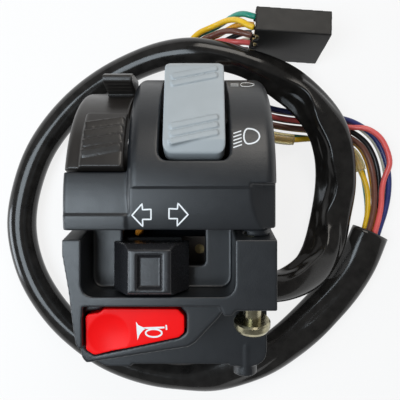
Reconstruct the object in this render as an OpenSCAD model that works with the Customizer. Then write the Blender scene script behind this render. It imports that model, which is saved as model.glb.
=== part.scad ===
// Left-hand motorbike handlebar switch cluster with its harness, lying on its back.
// Millimetres. +X along the bar, +Y towards the upper shell, +Z out of the rider's face.
// The origin is on the handlebar axis at the middle of the clamp.

/* [Shells] */
// Width of the body along the bar
body_w = 54; // [52:0.5:58]
// Radius of the handlebar clamp
bar_r = 11.1; // [10.9:0.05:11.4]
// Wall thickness of the shells
wall = 2.4; // [2.2:0.1:2.7]
// Tilt of the plane in which the shells part
split_tilt = 13.5; // [12.5:0.5:14.5]
// Half of the open gap between the shells
half_gap = 1.1; // [0.9:0.1:1.3]
// Radius of the dome of the upper shell
dome_r = 35.8; // [35.4:0.1:36.6]

/* [Dimmer rocker] */
// Width of the rocker
rocker_w = 15.8; // [14.5:0.1:16.4]
// Length of the rocker's face
rocker_len = 26.3; // [25:0.1:27]
// Side gap between rocker and slot
rocker_gap = 1.2; // [0.8:0.1:1.5]

/* [Choke lever] */
// Height of the ridged thumb pad above the lever's drum
pad_h = 1.9; // [1.2:0.1:2.4]
// Number of ridges on the thumb pad
pad_ridges = 4; // [3:1:5]

/* [Turn switch] */
// Width of the knob's front face
knob_w = 10; // [8.5:0.5:11]
// Height of the knob's front above the bar axis
knob_z = 36; // [35:0.5:37.5]

/* [Horn] */
// How far the horn button stands proud of its platform
horn_proud = 1.2; // [0.6:0.1:1.8]

/* [Screws] */
// Clamp screw diameter
screw_d = 5; // [4.6:0.1:5]
// Clamp screw head diameter
head_d = 10.2; // [9:0.1:10.4]
// How far the front screw is backed out of its seat
screw_out = 5.4; // [4:0.1:6]

/* [Harness] */
// Diameter of the harness sleeve
sleeve_d = 10; // [8:0.5:10]
// Diameter of each wire
wire_d = 2; // [1.6:0.1:2.1]

/* [Hidden] */
$fn = 48;
x0 = -body_w / 2;
x1 = body_w / 2;
floor_z = -22;
saddle_r = bar_r + 2.3;
// Dome drum: its axis and its left end
dome_y = 3.2;
dome_z = -0.5;
dome_x0 = -10.9;
// Drum of the choke lever and of the plateau in front of it, around the bar
drum_r = 34;
lever_r = drum_r + 0.6;
plateau_a = 13.5;
// Rider's face of the lower shell, floor of its pocket, horn platform and screw recess
face_z = 34;
pocket_z = 22;
platform_z = 31;
deep_z = 17;
bottom_y = -47.4;
// Lower edge of the column of the front screw, and side walls of the pocket
block_y = -27.1;
pocket_x0 = x0 + 4.8;
pocket_x1 = x1 - 10.6;
// Front clamp screw and rear clamp screw, in the tilted frame of the shells
screw_x = x1 - 4.9;
screw_z = 28.8;
seat_y = -20.9;
head_h = 3.4;
rear_screw_z = -15.9;
screws = [[screw_x, screw_z], [0, rear_screw_z]];
// Dimmer rocker: centre across, pivot and lean of its face
rocker_x = 6.1;
rocker_y = 22;
rocker_z = 21.1;
rocker_lean = 20;
well_y = 10.6;
slot_x0 = rocker_x - rocker_w / 2 - rocker_gap;
slot_x1 = rocker_x + rocker_w / 2 + rocker_gap;
// Turn switch: centre of the knob as it stands, to the left of the middle
knob_x = -5.3;
turn_screws = [x0 + 10.5, x1 - 15];
turn_screw_y = -15.4;
turn_rivet_x = [for (i = [0:3]) turn_screws[0] + 6.2 + i * (turn_screws[1] - turn_screws[0] - 10.7) / 3];
// Horn button: its outline starts at the left edge
horn_top = platform_z + horn_proud;
horn_x0 = x0 + 5.4;
horn_pts = [[horn_x0, -28.5], [horn_x0 + 3.6, -27.9], [horn_x0 + 4.8, -26.9], [horn_x0 + 23.6, -27],
  [horn_x0 + 25.2, -28.8], [horn_x0 + 25.2, -33], [horn_x0 + 23.8, -34.2], [horn_x0 + 2.3, -38.7],
  [horn_x0 + 0.2, -37.4]];
horn_x = horn_x0 + 12.6;
horn_y = -32.6;
board_z = 14.6;
horn_screws = [[horn_x0 + 2.6, horn_y], [horn_x0 + 23.1, horn_y]];
// Harness exit in the right wall
exit_y = -28;
exit_z = 1;
// Route of the sleeve, from inside the wall to its open end
low = floor_z + sleeve_d / 2 + 0.1;
sleeve_pts = [[x1 - 6, exit_y, exit_z], [x1 + 1, exit_y, exit_z], [x1 + 9.5, exit_y + 0.9, exit_z - 2.3],
  [46, -23, -7.2], [52.5, -14.8, -13.4], [55.8, -4, low + 0.5], [56.8, 7, low + 2.2], [55.6, 18, low + 4.3],
  [52.2, 27.5, low + 4.9], [45.8, 36.2, low + 4.4], [37.2, 43.4, low + 3.8], [26.6, 48.8, low + 4.6],
  [14, 52.4, low + 4.9], [2, 53.6, low + 4.5], [-11, 51.6, low + 2], [-26, 45, low + 0.3], [-39, 35, low],
  [-50, 21, low], [-56, 6, low], [-58, -9, low], [-55, -24, low], [-48, -37, low], [-38, -48, low],
  [-25, -57, low], [-9, -62.5, low], [9, -63.6, low], [26, -59.4, low], [40.6, -50.6, low],
  [53.6, -38, low], [64.2, -24.6, low], [70.4, -11.2, low]];
// Route of the middle of the wires, from the sleeve's end to the connector
wire_low = floor_z + wire_d / 2 + 0.2;
wire_layer = wire_d * 1.1;
wire_col = wire_d * 1.45;
wire_mid = wire_low + wire_layer / 2;
wire_pts = [[70.6, -10.7, low], [72.6, -4, low - 0.8], [73.6, 4, wire_mid + 1], [73, 13, wire_mid],
  [69.5, 21, wire_mid], [62.5, 26, wire_mid], [53, 28, wire_mid], [43, 29, wire_mid], [34, 30.5, wire_mid],
  [25, 33.5, wire_mid], [17.4, 37.2, wire_mid], [11.4, 41.6, wire_mid], [7.6, 46.2, wire_mid],
  [5.9, 51, wire_mid], [6.6, 55.8, wire_mid], [9.8, 59.5, wire_mid], [14.2, 61, wire_mid],
  [18.2, 61, wire_mid], [22.1, 60.5, wire_mid], [26, 59.8, wire_mid]];
// Connector: middle of its wire end, heading, roll, length and half of its width and height
plug_at = [26.1, 59.8, floor_z + 10.65];
plug_yaw = -4;
plug_roll = 80;
plug_l = 25.5;
plug_w = 9.9;
plug_h = 4.4;

// Cylinder along X
module xcyl(r, a, b, y = 0, z = 0) {
  translate([a, y, z]) rotate([0, 90, 0]) cylinder(r = r, h = b - a);
}

// Side view [y, z] extruded along X
module xprism(pts, a, b) {
  translate([a, 0, 0]) rotate([90, 0, 90]) linear_extrude(height = b - a) polygon(pts);
}

// Front view [x, y] extruded along Z
module zprism(pts, a, b) {
  translate([0, 0, a]) linear_extrude(height = b - a) polygon(pts);
}

// Box from one corner to the other
module box(a, b) {
  translate(a) cube(b - a);
}

// Drum around an axis along X, with rounded ends
module drum(r, a, b, y, z, ra, rb) {
  translate([0, y, z]) rotate([0, 90, 0]) rotate_extrude() {
    translate([0, a]) square([r - max(ra, rb), b - a]);
    translate([0, a + ra]) square([r, b - a - ra - rb]);
    translate([r - ra - 0.01, a + ra]) intersection() {
      circle(r = ra);
      translate([-1, -ra]) square([ra + 1, ra + 0.01]);
    }
    translate([r - rb - 0.01, b - rb]) intersection() {
      circle(r = rb);
      translate([-1, -0.01]) square([rb + 1, rb + 0.01]);
    }
    translate([0, a]) square([r - ra, ra]);
    translate([0, b - rb]) square([r - rb, rb]);
  }
}

// Frame of the shells: its Y is square to the plane in which they part
module tilted() {
  rotate([split_tilt, 0, 0]) children();
}

// Everything on the upper side of the split
module upper_side(gap = 0) {
  tilted() box([-80, gap, -90], [80, 90, 90]);
}

// Everything on the lower side of the split
module lower_side(gap = 0) {
  tilted() box([-80, -90, -90], [80, -gap, 90]);
}

// Wedge about the bar axis in side view, between two angles measured from +Z to +Y
function wedge(a, b, r = 70) = [[0, 0],
  for (i = [0:4]) let (t = a + (b - a) * i / 4) [r * sin(t), r * cos(t)]];

// Polygon with every corner rounded by the same radius
function unit(v) = v / norm(v);
function corner(p, c, n, r, k) =
  let (u = unit(p - c), w = unit(n - c), half = acos(max(-1, min(1, u * w))) / 2)
  let (m = unit(u + w), o = c + m * r / sin(half), d = r / tan(half))
  let (s = c + u * d - o, e = c + w * d - o, total = acos(max(-1, min(1, s * e / (r * r)))))
  [for (i = [0:k]) o + (sin(total * (1 - i / k)) * s + sin(total * i / k) * e) / sin(total)];
function rounded(p, r, k = 4) =
  [for (i = [0:len(p) - 1]) each corner(p[(i + len(p) - 1) % len(p)], p[i], p[(i + 1) % len(p)], r, k)];

// Outline moved outwards by d; corners in clockwise order
function grown(p, d) = [for (i = [0:len(p) - 1])
  let (a = p[(i + len(p) - 1) % len(p)], b = p[i], c = p[(i + 1) % len(p)])
  let (u = unit(b - a), w = unit(c - b), n = [-u[1], u[0]], m = [-w[1], w[0]])
  b + (n + m) * d / (1 + n * m)];

// Route through points as a smooth line
function blend(a, b, c, d, t) = 0.5 * ((2 * b) + (c - a) * t + (2 * a - 5 * b + 4 * c - d) * t * t
  + (3 * b - a - 3 * c + d) * t * t * t);
function pick(p, i) = i < 0 ? 2 * p[0] - p[1] : i >= len(p) ? 2 * p[len(p) - 1] - p[len(p) - 2] : p[i];
function smooth(p, k) = [for (i = [0:len(p) - 2], j = [0:k - 1])
  blend(pick(p, i - 1), p[i], p[i + 1], pick(p, i + 2), j / k), p[len(p) - 1]];

// Directions along, across and upright for each point of a line
function along(p, i) = unit(p[min(i + 1, len(p) - 1)] - p[max(i - 1, 0)]);
function across(p, i) = unit(cross([0, 0, 1], along(p, i)));
function upright(p, i) = cross(along(p, i), across(p, i));

// Closed tube swept along a line
module tube(p, r, sides) {
  n = len(p);
  pts = [for (i = [0:n - 1], j = [0:sides - 1])
    p[i] + r * (cos(360 * j / sides) * across(p, i) + sin(360 * j / sides) * upright(p, i))];
  polyhedron(points = pts, convexity = 10, faces = concat(
    [[for (j = [sides - 1:-1:0]) j]],
    [for (i = [0:n - 2], j = [0:sides - 1], k = [0, 1])
      let (a = i * sides + j, b = i * sides + (j + 1) % sides)
      k == 0 ? [a, b, b + sides] : [a, b + sides, a + sides]],
    [[for (j = [0:sides - 1]) (n - 1) * sides + j]]));
}

// Open sleeve swept along a line
module open_tube(p, r, bore, sides) {
  n = len(p);
  m = 2 * sides;
  pts = [for (i = [0:n - 1], q = [r, bore], j = [0:sides - 1])
    p[i] + q * (cos(360 * j / sides) * across(p, i) + sin(360 * j / sides) * upright(p, i))];
  polyhedron(points = pts, convexity = 10, faces = [
    for (i = [0:n - 2], j = [0:sides - 1], k = [0:3])
      let (a = i * m + j, b = i * m + (j + 1) % sides, c = a + sides, d = b + sides)
      [[a, b, b + m], [a, b + m, a + m], [d, c, c + m], [d, c + m, d + m]][k],
    for (j = [0:sides - 1], k = [0:3])
      let (a = j, b = (j + 1) % sides, e = (n - 1) * m)
      [[b, a, a + sides], [b, a + sides, b + sides],
        [e + a, e + b, e + b + sides], [e + a, e + b + sides, e + a + sides]][k]]);
}

// Upper shell

foot = [[-14, floor_z], [16, floor_z], [13.5, -11], [9, -6], [-14, -6]];

module upper_outline() {
  intersection() {
    union() {
      drum(dome_r, dome_x0, x1, dome_y, dome_z, 2.5, 3);
      // Plateau in front of the lever, with the ledge along its lower edge
      intersection() {
        drum(drum_r, x0, dome_x0 + 4, 0, 0, 1, 0.4);
        xprism(wedge(-80, plateau_a), -60, 60);
      }
      intersection() {
        drum(lever_r, x0 + 0.1, dome_x0 + 4, 0, 0, 1, 0.4);
        xprism(wedge(-80, -5), -60, 60);
      }
      // Foot behind the bar and cheek around it
      xprism(foot, x0, x1);
      xcyl(bar_r + 6, x0, x0 + wall);
    }
    upper_side(half_gap);
    xprism([[-50, floor_z], [18, floor_z], [41, -6], [41, 50], [-50, 50]], -60, 60);
  }
  // Boss around the front screw, down to the lower shell
  tilted() translate([screw_x, 0.15 - half_gap, screw_z]) rotate([-90, 0, 0])
    cylinder(r = screw_d / 2 + 1.7, h = 2 * half_gap + 1);
}

module upper_hollow() {
  difference() {
    intersection() {
      union() {
        drum(dome_r - wall, dome_x0 + wall, x1 - wall, dome_y, dome_z, 1.5, 2);
        difference() {
          xcyl(drum_r - wall, x0 + wall, dome_x0 - 0.4);
          xprism([[-60, -70], [60, -70], [60, 0], [-60, 0]], -60, 60);
        }
      }
      xprism([[-50, floor_z + 8], [16, floor_z + 8], [38, -4], [38, 50], [-50, 50]], -60, 60);
    }
    xcyl(saddle_r, dome_x0, x1);
    xprism(foot, dome_x0, x1);
    // Walls of the rocker's well, and ledges of its board
    intersection() {
      box([slot_x0 - wall, well_y - wall, 6], [slot_x1 + wall, 50, 60]);
      union() {
        box([slot_x0 - wall, 0, 6], [slot_x0, 50, 60]);
        box([slot_x1, 0, 6], [slot_x1 + wall, 50, 60]);
        box([slot_x0 - wall, 0, 6], [slot_x1 + wall, 50, 8]);
        box([slot_x0 - wall, 0, 9], [slot_x1 + wall, well_y, 60]);
        rocker_frame() box([slot_x0 - rocker_x - 0.1, -6.2, -12.4], [slot_x0 - rocker_x + 3.4, 8, -9.2]);
        rocker_frame() box([slot_x1 - rocker_x - 3.4, -6.2, -12.4], [slot_x1 - rocker_x + 0.1, 8, -9.2]);
      }
    }
    // Column for the front screw's insert
    tilted() translate([screw_x, 0, screw_z]) rotate([-90, 0, 0]) cylinder(r = 5, h = 16);
  }
}

module upper_housing() {
  color("#34363a") difference() {
    upper_outline();
    upper_hollow();
    xcyl(bar_r, x0 - 1, x1 + 1);
    // Room for the lever's hub behind and above the bar
    xcyl(bar_r + 4.6, x0 + wall, dome_x0 - 0.3);
    // Band under the crease
    intersection() {
      difference() {
        xcyl(dome_r + 6, dome_x0 - 0.2, x1 + 1, dome_y, dome_z);
        xcyl(dome_r - 0.5, dome_x0 - 1, x1 + 2, dome_y, dome_z);
      }
      box([dome_x0 - 1, -20, 10], [x1 + 2, 4, 60]);
    }
    // Right end of the band, bent back
    translate([0, 5, 0]) rotate([90, 0, 0]) linear_extrude(height = 30)
      polygon([[x1 - 7, 60], [x1 - 7, 34.9], [x1 + 1, 31], [x1 + 1, 60]]);
    // Slot of the rocker, open over the top
    zprism(rounded([[slot_x0, well_y], [slot_x0, 60], [slot_x1, 60], [slot_x1, well_y]], 2.4), 24, 60);
    box([slot_x0, well_y, 8], [slot_x1, 60, 24.5]);
    // Holes of the pivot pin
    xcyl(1.3, slot_x0 - wall - 0.6, slot_x1 + wall + 0.6, rocker_y, rocker_z);
    // Clamp screw holes with room for their inserts
    tilted() for (p = screws) translate([p[0], 0, p[1]]) rotate([-90, 0, 0]) {
      translate([0, 0, -half_gap]) cylinder(r = screw_d / 2 + 0.05, h = 14);
      cylinder(r = screw_d / 2 + 0.85, h = 9);
    }
    // Pilot holes of the board screws
    rocker_frame() for (x = dimmer_screw_x) translate([x, dimmer_screw_y, -12]) cylinder(r = 0.9, h = 4);
  }
}

// Lower shell

module lower_outline() {
  left = [[x0, 20], [x0, -13], [x0 + 1.6, -22], [x0 + 2.6, -30], [x0 + 3.4, -35.4], [x0 + 4.2, -36.8],
    [x0 + 5.2, -36]];
  lip = [[x0 + 5.2, -26], [12.5, -26], [13.6, -28.3], [15.6, -28.3], [16.6, block_y]];
  intersection() {
    union() {
      // Block with the pocket and the screw column
      zprism(concat(left, lip, [[x1, block_y], [x1, 20]]), -20, face_z);
      // Horn platform
      zprism([[x0 + 1, -22], [x0 + 2.9, -33], [x0 + 4.2, -39.9], [x0 + 5.4, -41.2], [4.6, -37.1], [6.4, -36],
        [12.6, -29.4], [15, -25.4], [15, -22]], 0, platform_z);
      // Deep body behind
      zprism(rounded([[x0, 30], [x1, 30], [x1, bottom_y], [x0 + 4, bottom_y], [x0 + 3, -34],
        [x0, -14]], 4.2), -40, deep_z);
    }
    lower_side(half_gap);
    xprism(rounded([[bottom_y - 3, 1], [-27, floor_z], [50, floor_z], [50, 60], [bottom_y - 3, 60]], 4),
      -60, 60);
  }
  // Stub under the bottom
  translate([x1 - 6, bottom_y + 6, deep_z - 3.4]) rotate([90, 0, 0]) {
    cylinder(r = 3.5, h = 6);
    translate([0, 0, 6]) cylinder(r1 = 3.5, r2 = 2.2, h = 1.3);
  }
}

module lower_hollow() {
  difference() {
    intersection() {
      union() {
        zprism([[x0 + wall, 30], [x1 - wall, 30], [x1 - wall, bottom_y + wall],
          [x0 + 4 + wall, bottom_y + wall], [x0 + 3 + wall, -34], [x0 + wall, -14]], -40, deep_z - wall);
        // Behind the pocket
        box([pocket_x0 - 0.4, -25, 8], [pocket_x1, 20, pocket_z - wall]);
        // Behind the horn button
        zprism([[x0 + 3.8, -26.1], [x0 + 4.3, -33], [x0 + 5.1, -38.9], [x0 + 6.4, -39.7], [4.4, -35.8],
          [5.6, -35], [10, -30.2], [11.2, -26.1]], 8, platform_z - wall);
      }
      xprism([[bottom_y + 3.2, 3], [-26, floor_z + wall], [50, floor_z + wall], [50, 60],
        [bottom_y + 3.2, 60]], -60, 60);
    }
    xcyl(saddle_r, x0, x1);
    xprism([[-14, floor_z], [14, floor_z], [14, -4], [-6, -4], [-14, -12]], x0, x1);
    // Column of the front screw with the wall behind its head, and channel of the rear one
    box([pocket_x1, -26, 0], [x1, 20, 60]);
    box([x1 - 13, -60, 10], [x1, -24, 60]);
    tilted() translate([0, 0, rear_screw_z]) rotate([90, 0, 0]) cylinder(r = head_d / 2 + 2.1, h = 60);
    // Posts of the turn board
    for (x = turn_screws) translate([x, turn_screw_y, 12]) cylinder(r = 2.3, h = 12);
    // Ledges of the horn board
    box([x0, -35.5, 11.4], [horn_x0 + 4.2, -30, board_z]);
    box([horn_x0 + 21.6, -46, 8], [horn_x0 + 24.8, -27.2, board_z]);
  }
}

module lower_housing() {
  color("#313337") difference() {
    lower_outline();
    lower_hollow();
    xcyl(bar_r, x0 - 1, x1 + 1);
    // Pocket of the turn knob, and the slot of its stem
    zprism(rounded([[pocket_x0, 30], [pocket_x1, 30], [pocket_x1, -23.5], [pocket_x0, -23.5]], 3),
      pocket_z, 60);
    zprism(rounded([[-13.8, 30], [9, 30], [9, -17.3], [-13.8, -17.3]], 1), 16, 60);
    // Opening of the horn button
    zprism(rounded(grown(horn_pts, 0.45), 1), platform_z - wall - 0.6, 60);
    // Shallow cut in the bottom edge
    box([-12.2, bottom_y - 1, -30], [x1 - 10.8, bottom_y + 0.6, 60]);
    // Holes of the clamp screws, with room for their heads
    tilted() {
      for (p = screws) translate([p[0], 10, p[1]]) rotate([90, 0, 0])
        cylinder(r = screw_d / 2 + 0.25, h = 10 - seat_y + screw_out);
      translate([screw_x, seat_y - screw_out + 1, screw_z]) rotate([90, 0, 0])
        cylinder(r = head_d / 2 + 0.5, h = head_h + 2);
      translate([0, -7, rear_screw_z]) rotate([90, 0, 0]) cylinder(r = head_d / 2 + 0.3, h = 60);
    }
    // Hole of the grommet
    xcyl(sleeve_d / 2 + 1, x1 - 8, x1 + 1, exit_y, exit_z);
    xcyl(sleeve_d / 2 + 2.5, x1 - 20, x1 - wall, exit_y, exit_z);
    // Pilot holes of the board screws
    for (x = turn_screws) translate([x, turn_screw_y, 11]) cylinder(r = 0.9, h = 5);
    for (p = horn_screws) translate([p[0], p[1], 10]) cylinder(r = 0.9, h = 6);
  }
}

// Clamp screws and inserts, drawn along the tilted Y

module screw(length) {
  rotate([-90, 0, 0]) cylinder(d = screw_d, h = length);
  difference() {
    rotate([90, 0, 0]) rotate_extrude() polygon([[0, 0], [0, head_h], [head_d / 2 - 1.4, head_h],
      [head_d / 2 - 0.5, head_h - 0.5], [head_d / 2, head_h - 1.4], [head_d / 2, 0.5],
      [head_d / 2 - 0.4, 0]]);
    translate([-3, -head_h - 0.6, -0.6]) cube([6, 2.2, 1.2]);
    translate([-0.6, -head_h - 0.6, -3]) cube([1.2, 2.2, 6]);
  }
}

module clamp_screws() {
  color("#8a8458") tilted() {
    translate([screw_x, seat_y - screw_out, screw_z]) screw(33);
    translate([0, -7.05, rear_screw_z]) screw(18);
  }
}

module thread_inserts() {
  color("#b08d46") tilted() for (p = screws)
    translate([p[0], half_gap + 0.2, p[1]]) rotate([-90, 0, 0]) difference() {
      cylinder(r = screw_d / 2 + 0.8, h = 7.6);
      translate([0, 0, -1]) cylinder(r = screw_d / 2 + 0.05, h = 12);
    }
}

// Dimmer rocker, drawn about its pivot with its face square to Z

module rocker_frame() {
  translate([rocker_x, rocker_y, rocker_z]) rotate([-rocker_lean, 0, 0]) children();
}

dimmer_screw_x = [slot_x0 - rocker_x + 1.95, slot_x1 - rocker_x - 1.95];
dimmer_screw_y = 2.5;
dimmer_rivet_x = -4.6;
dimmer_rivet_y = [-3.5, 0.5, 4.5];

module dimmer_rocker() {
  h = rocker_len / 2;
  top = h + 0.9;
  w = rocker_w / 2;
  color("#b4b8bc") rocker_frame() difference() {
    union() {
      intersection() {
        xprism(rounded([[-h, 4], [-h, 8.2], [-h + 3, 10], [top - 2, 10], [top, 8.6], [top, 3.4], [3.4, 0.5],
          [-3.4, 0.5]], 1), -w, w);
        zprism(rounded([[-w, -h], [-w, top], [w, top], [w, -h]], 2.2), -20, 20);
      }
      xcyl(3.6, -w, w);
      box([-3, -2.2, -5.2], [3, 2.2, 2]);
      // Slanted ribs at both ends of the face
      for (y = [-9.5, -7.3, -5.1, 7.6, 9.8]) translate([0, y, 0]) rotate([0, 0, 13])
        zprism(rounded([[1.6 - w, -0.8], [1.6 - w, 0.8], [w - 1.6, 0.8], [w - 1.6, -0.8]], 0.6), 9, 10.45);
    }
    xcyl(1.3, -20, 20);
    translate([0, 0, -6]) cylinder(r = 1.45, h = 4);
  }
}

module dimmer_pivot_pin() {
  color("#9a9da0") xcyl(1.25, slot_x0 - wall - 0.4, slot_x1 + wall + 0.4, rocker_y, rocker_z);
}

module dimmer_detent_spring() {
  color("#8c8f92") rocker_frame() translate([0, 0, -4.3]) difference() {
    cylinder(r = 1.2, h = 2.2);
    translate([0, 0, -1]) cylinder(r = 0.8, h = 5);
  }
}

module dimmer_detent_ball() {
  color("#a8abae") rocker_frame() translate([0, 0, -5.65]) sphere(r = 1.3);
}

module dimmer_wiper() {
  color("#b8873a") rocker_frame() {
    box([-6.5, -1.8, -4.4], [-3.2, 1.8, -3.7]);
    translate([dimmer_rivet_x, 0, -5.6]) cylinder(r = 0.9, h = 1.2);
  }
}

module dimmer_board() {
  color("#7a5a34") rocker_frame() difference() {
    box([slot_x0 - rocker_x + 0.3, -6, -9.2], [slot_x1 - rocker_x - 0.3, 7.8, -7.6]);
    for (x = dimmer_screw_x) translate([x, dimmer_screw_y, -10]) cylinder(r = 1.1, h = 4);
    for (y = dimmer_rivet_y) translate([dimmer_rivet_x, y, -10]) cylinder(r = 0.75, h = 4);
  }
}

module dimmer_rivets() {
  color("#b8873a") rocker_frame() for (y = dimmer_rivet_y) translate([dimmer_rivet_x, y, 0]) {
    translate([0, 0, -9.6]) cylinder(r = 0.7, h = 2.4);
    translate([0, 0, -7.6]) cylinder(r = 1.4, h = 0.5);
    translate([0, 0, -9.7]) cylinder(r = 1.4, h = 0.5);
  }
}

// Choke lever around the bar

// Point in side view at a height above the lever's drum and an angle from +Z to +Y
function polar(h, a) = (lever_r + h) * [sin(a), cos(a)];

module choke_lever() {
  a = x0 + 0.2;
  b = dome_x0 - 0.6;
  hub_a = x0 + wall + 0.3;
  color("#232225") difference() {
    union() {
      // Drum with its thumb pad and finger stop
      intersection() {
        difference() {
          drum(lever_r, a, b, 0, 0, 1.6, 0.8);
          xcyl(lever_r - 3.2, a - 1, b + 1);
        }
        xprism(wedge(plateau_a + 0.9, 82), -60, 60);
      }
      intersection() {
        drum(lever_r + pad_h, x0 + 4.2, b, 0, 0, 1.2, 0.8);
        difference() {
          xprism(wedge(plateau_a + 0.9, 41), -60, 60);
          xcyl(lever_r - 1, -60, 60);
        }
      }
      xprism(rounded([polar(-3, 72), polar(0.6, 67), polar(5.4, 58.5), polar(7, 59.5), polar(6.8, 63),
        polar(4, 78), polar(-0.7, 81)], 0.7), x0 + 7.2, b);
      // Ridges of both
      for (i = [0:pad_ridges - 1]) rotate([-(21.5 + i * 18 / pad_ridges), 0, 0])
        translate([(x0 + 4.2 + b) / 2, 0, lever_r + pad_h - 0.6]) rotate([0, 0, 11]) rotate([14, 0, 0])
          box([-5, -1, 0], [5, 1, 1]);
      for (i = [1:3]) let (p = polar(0.6 + i * 1.2, 67 - i * 2.1)) xcyl(0.45, x0 + 8, b - 0.7, p[0], p[1]);
      // Skirt that closes the notch when the lever is turned
      intersection() {
        difference() {
          xcyl(lever_r - 3.6, hub_a, b);
          xcyl(lever_r - 5.8, -60, 60);
        }
        xprism(wedge(-8.5, 30), -60, 60);
      }
      intersection() {
        difference() {
          xcyl(lever_r - 2.6, hub_a, b);
          xcyl(lever_r - 5.8, -60, 60);
        }
        xprism(wedge(plateau_a + 4, 30), -60, 60);
      }
      // Left cheek, web and hub
      intersection() {
        difference() {
          xcyl(lever_r - 1, a + 1, a + 3);
          xcyl(bar_r + 6.5, -60, 60);
        }
        xprism(wedge(plateau_a + 0.9, 82), -60, 60);
      }
      intersection() {
        difference() {
          xcyl(lever_r - 1, a + 1, b - 6);
          xcyl(bar_r + 6.5, -60, 60);
        }
        xprism(wedge(32, 62), -60, 60);
      }
      intersection() {
        xcyl(bar_r + 8, hub_a, b - 6);
        xprism(wedge(32, 62), -60, 60);
      }
      intersection() {
        xcyl(bar_r + 4.2, hub_a, b);
        xprism(concat([[0, 0]], [for (i = [0:12]) let (t = 2 + i * 128 / 12) [40 * sin(t), 40 * cos(t)]]),
          -60, 60);
      }
    }
    xcyl(bar_r + 0.4, -60, 60);
  }
}

// Turn switch

module turn_knob() {
  c = knob_x;
  f = knob_w / 2;
  color("#26272a") difference() {
    union() {
      intersection() {
        translate([0, -10.2, 0]) rotate([90, 0, 0]) linear_extrude(height = 12.8)
          polygon(rounded([[c - 10, 24.2], [c - 10, 27], [c - f + 0.3, knob_z], [c + f + 0.6, knob_z],
            [c + 10, 27.6], [c + 10, 24.2]], 0.8));
        xprism(rounded([[-23, 24.2], [-23, knob_z - 1.6], [-22.2, knob_z], [-11.6, knob_z],
          [-10.2, knob_z - 2.4], [-10.2, 24.2]], 0.6), -60, 60);
      }
      // Stem into the carriage
      box([c - 3.5, -16.7, 17.4], [c + 3.5, -12.3, 25]);
    }
    // Finger dish
    translate([c + 0.4, -21.4, knob_z + 3.3]) rotate([-90, 0, 0]) cylinder(r = 4.6, h = 8.7);
    // Bore of the return spring
    translate([c, -14.5, 15]) cylinder(r = 1.9, h = 7.4);
  }
}

module turn_knob_spring() {
  color("#8c8f92") translate([knob_x, -14.5, 15.5]) difference() {
    cylinder(r = 1.6, h = 6.8);
    translate([0, 0, -1]) cylinder(r = 1.1, h = 9);
  }
}

module turn_carriage() {
  c = knob_x;
  color("#d8d2c0") difference() {
    box([c - 7.7, -19.4, 14.4], [c + 7.7, -9.9, 19.2]);
    box([c - 3.9, -17.1, 15.4], [c + 3.9, -11.9, 20]);
    translate([c + 5.9, -17.6, 13]) cylinder(r = 1.4, h = 5);
  }
}

module turn_detent_spring() {
  color("#8c8f92") translate([knob_x + 5.9, -17.6, 15]) difference() {
    cylinder(r = 1.2, h = 2.9);
    translate([0, 0, -1]) cylinder(r = 0.8, h = 9);
  }
}

module turn_detent_ball() {
  color("#a8abae") translate([knob_x + 5.9, -17.6, 13.6]) sphere(r = 1.25);
}

module turn_wiper() {
  color("#b8873a") {
    box([knob_x - 6.4, -15.6, 13.7], [knob_x + 2.4, -12.2, 14.4]);
    for (x = [-5, 1]) translate([knob_x + x, -13.9, 12.9]) cylinder(r = 0.9, h = 1);
  }
}

module turn_board() {
  color("#7a5a34") difference() {
    box([x0 + 8, -21, 10.4], [x1 - 12.4, -10.2, 12]);
    for (x = turn_screws) translate([x, turn_screw_y, 9]) cylinder(r = 1.1, h = 5);
    for (x = turn_rivet_x) translate([x, -13.9, 9]) cylinder(r = 0.75, h = 5);
  }
}

module turn_rivets() {
  color("#b8873a") for (x = turn_rivet_x) translate([x, -13.9, 0]) {
    translate([0, 0, 10]) cylinder(r = 0.7, h = 2.4);
    translate([0, 0, 12]) cylinder(r = 1.4, h = 0.5);
    translate([0, 0, 9.9]) cylinder(r = 1.4, h = 0.5);
  }
}

// Horn

module horn_button() {
  color("#c0302c") difference() {
    union() {
      zprism(rounded(horn_pts, 1), 26.6, horn_top);
      // Flange behind the platform
      zprism([[horn_x0 + 4.6, -26.5], [horn_x0 + 23.8, -26.4], [horn_x0 + 26.1, -28.8],
        [horn_x0 + 26.1, -33], [horn_x0 + 23, -33], [horn_x0 + 4.6, -29]], 26.6, 28.2);
      translate([horn_x, horn_y, 20.5]) cylinder(r = 2.4, h = 6.6);
    }
    // Thumb dish
    translate([horn_x0 + 6, -33.6, horn_top + 17.2]) sphere(r = 18);
  }
}

module horn_wiper() {
  color("#b8873a") translate([horn_x, horn_y, 19.8]) cylinder(r = 3.4, h = 0.7);
}

// Coil with its turns by formula
module horn_spring() {
  coils = 4;
  z_low = 16.7;
  z_high = 26.1;
  line = [for (i = [0:coils * 12]) let (t = i / 12 * 360)
    [horn_x + 4.3 * cos(t), horn_y + 4.3 * sin(t), z_low + (z_high - z_low) * i / (coils * 12)]];
  color("#8c8f92") tube(line, 0.45, 6);
}

module horn_board() {
  color("#7a5a34") difference() {
    zprism([[horn_x0 + 1.2, -27.6], [horn_x0 + 24.4, -27.6], [horn_x0 + 24.4, -35], [horn_x0 + 1.2, -37.6]],
      board_z, board_z + 1.6);
    for (p = horn_screws) translate([p[0], p[1], 13]) cylinder(r = 1.1, h = 5);
    for (x = [-1.7, 1.7]) translate([horn_x + x, horn_y, 13]) cylinder(r = 0.75, h = 5);
  }
}

module horn_rivets() {
  color("#b8873a") for (x = [-1.7, 1.7]) translate([horn_x + x, horn_y, 0]) {
    translate([0, 0, 14.2]) cylinder(r = 0.7, h = 2.4);
    translate([0, 0, 16.2]) cylinder(r = 1.4, h = 1.3);
    translate([0, 0, 14.1]) cylinder(r = 1.4, h = 0.5);
  }
}

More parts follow.
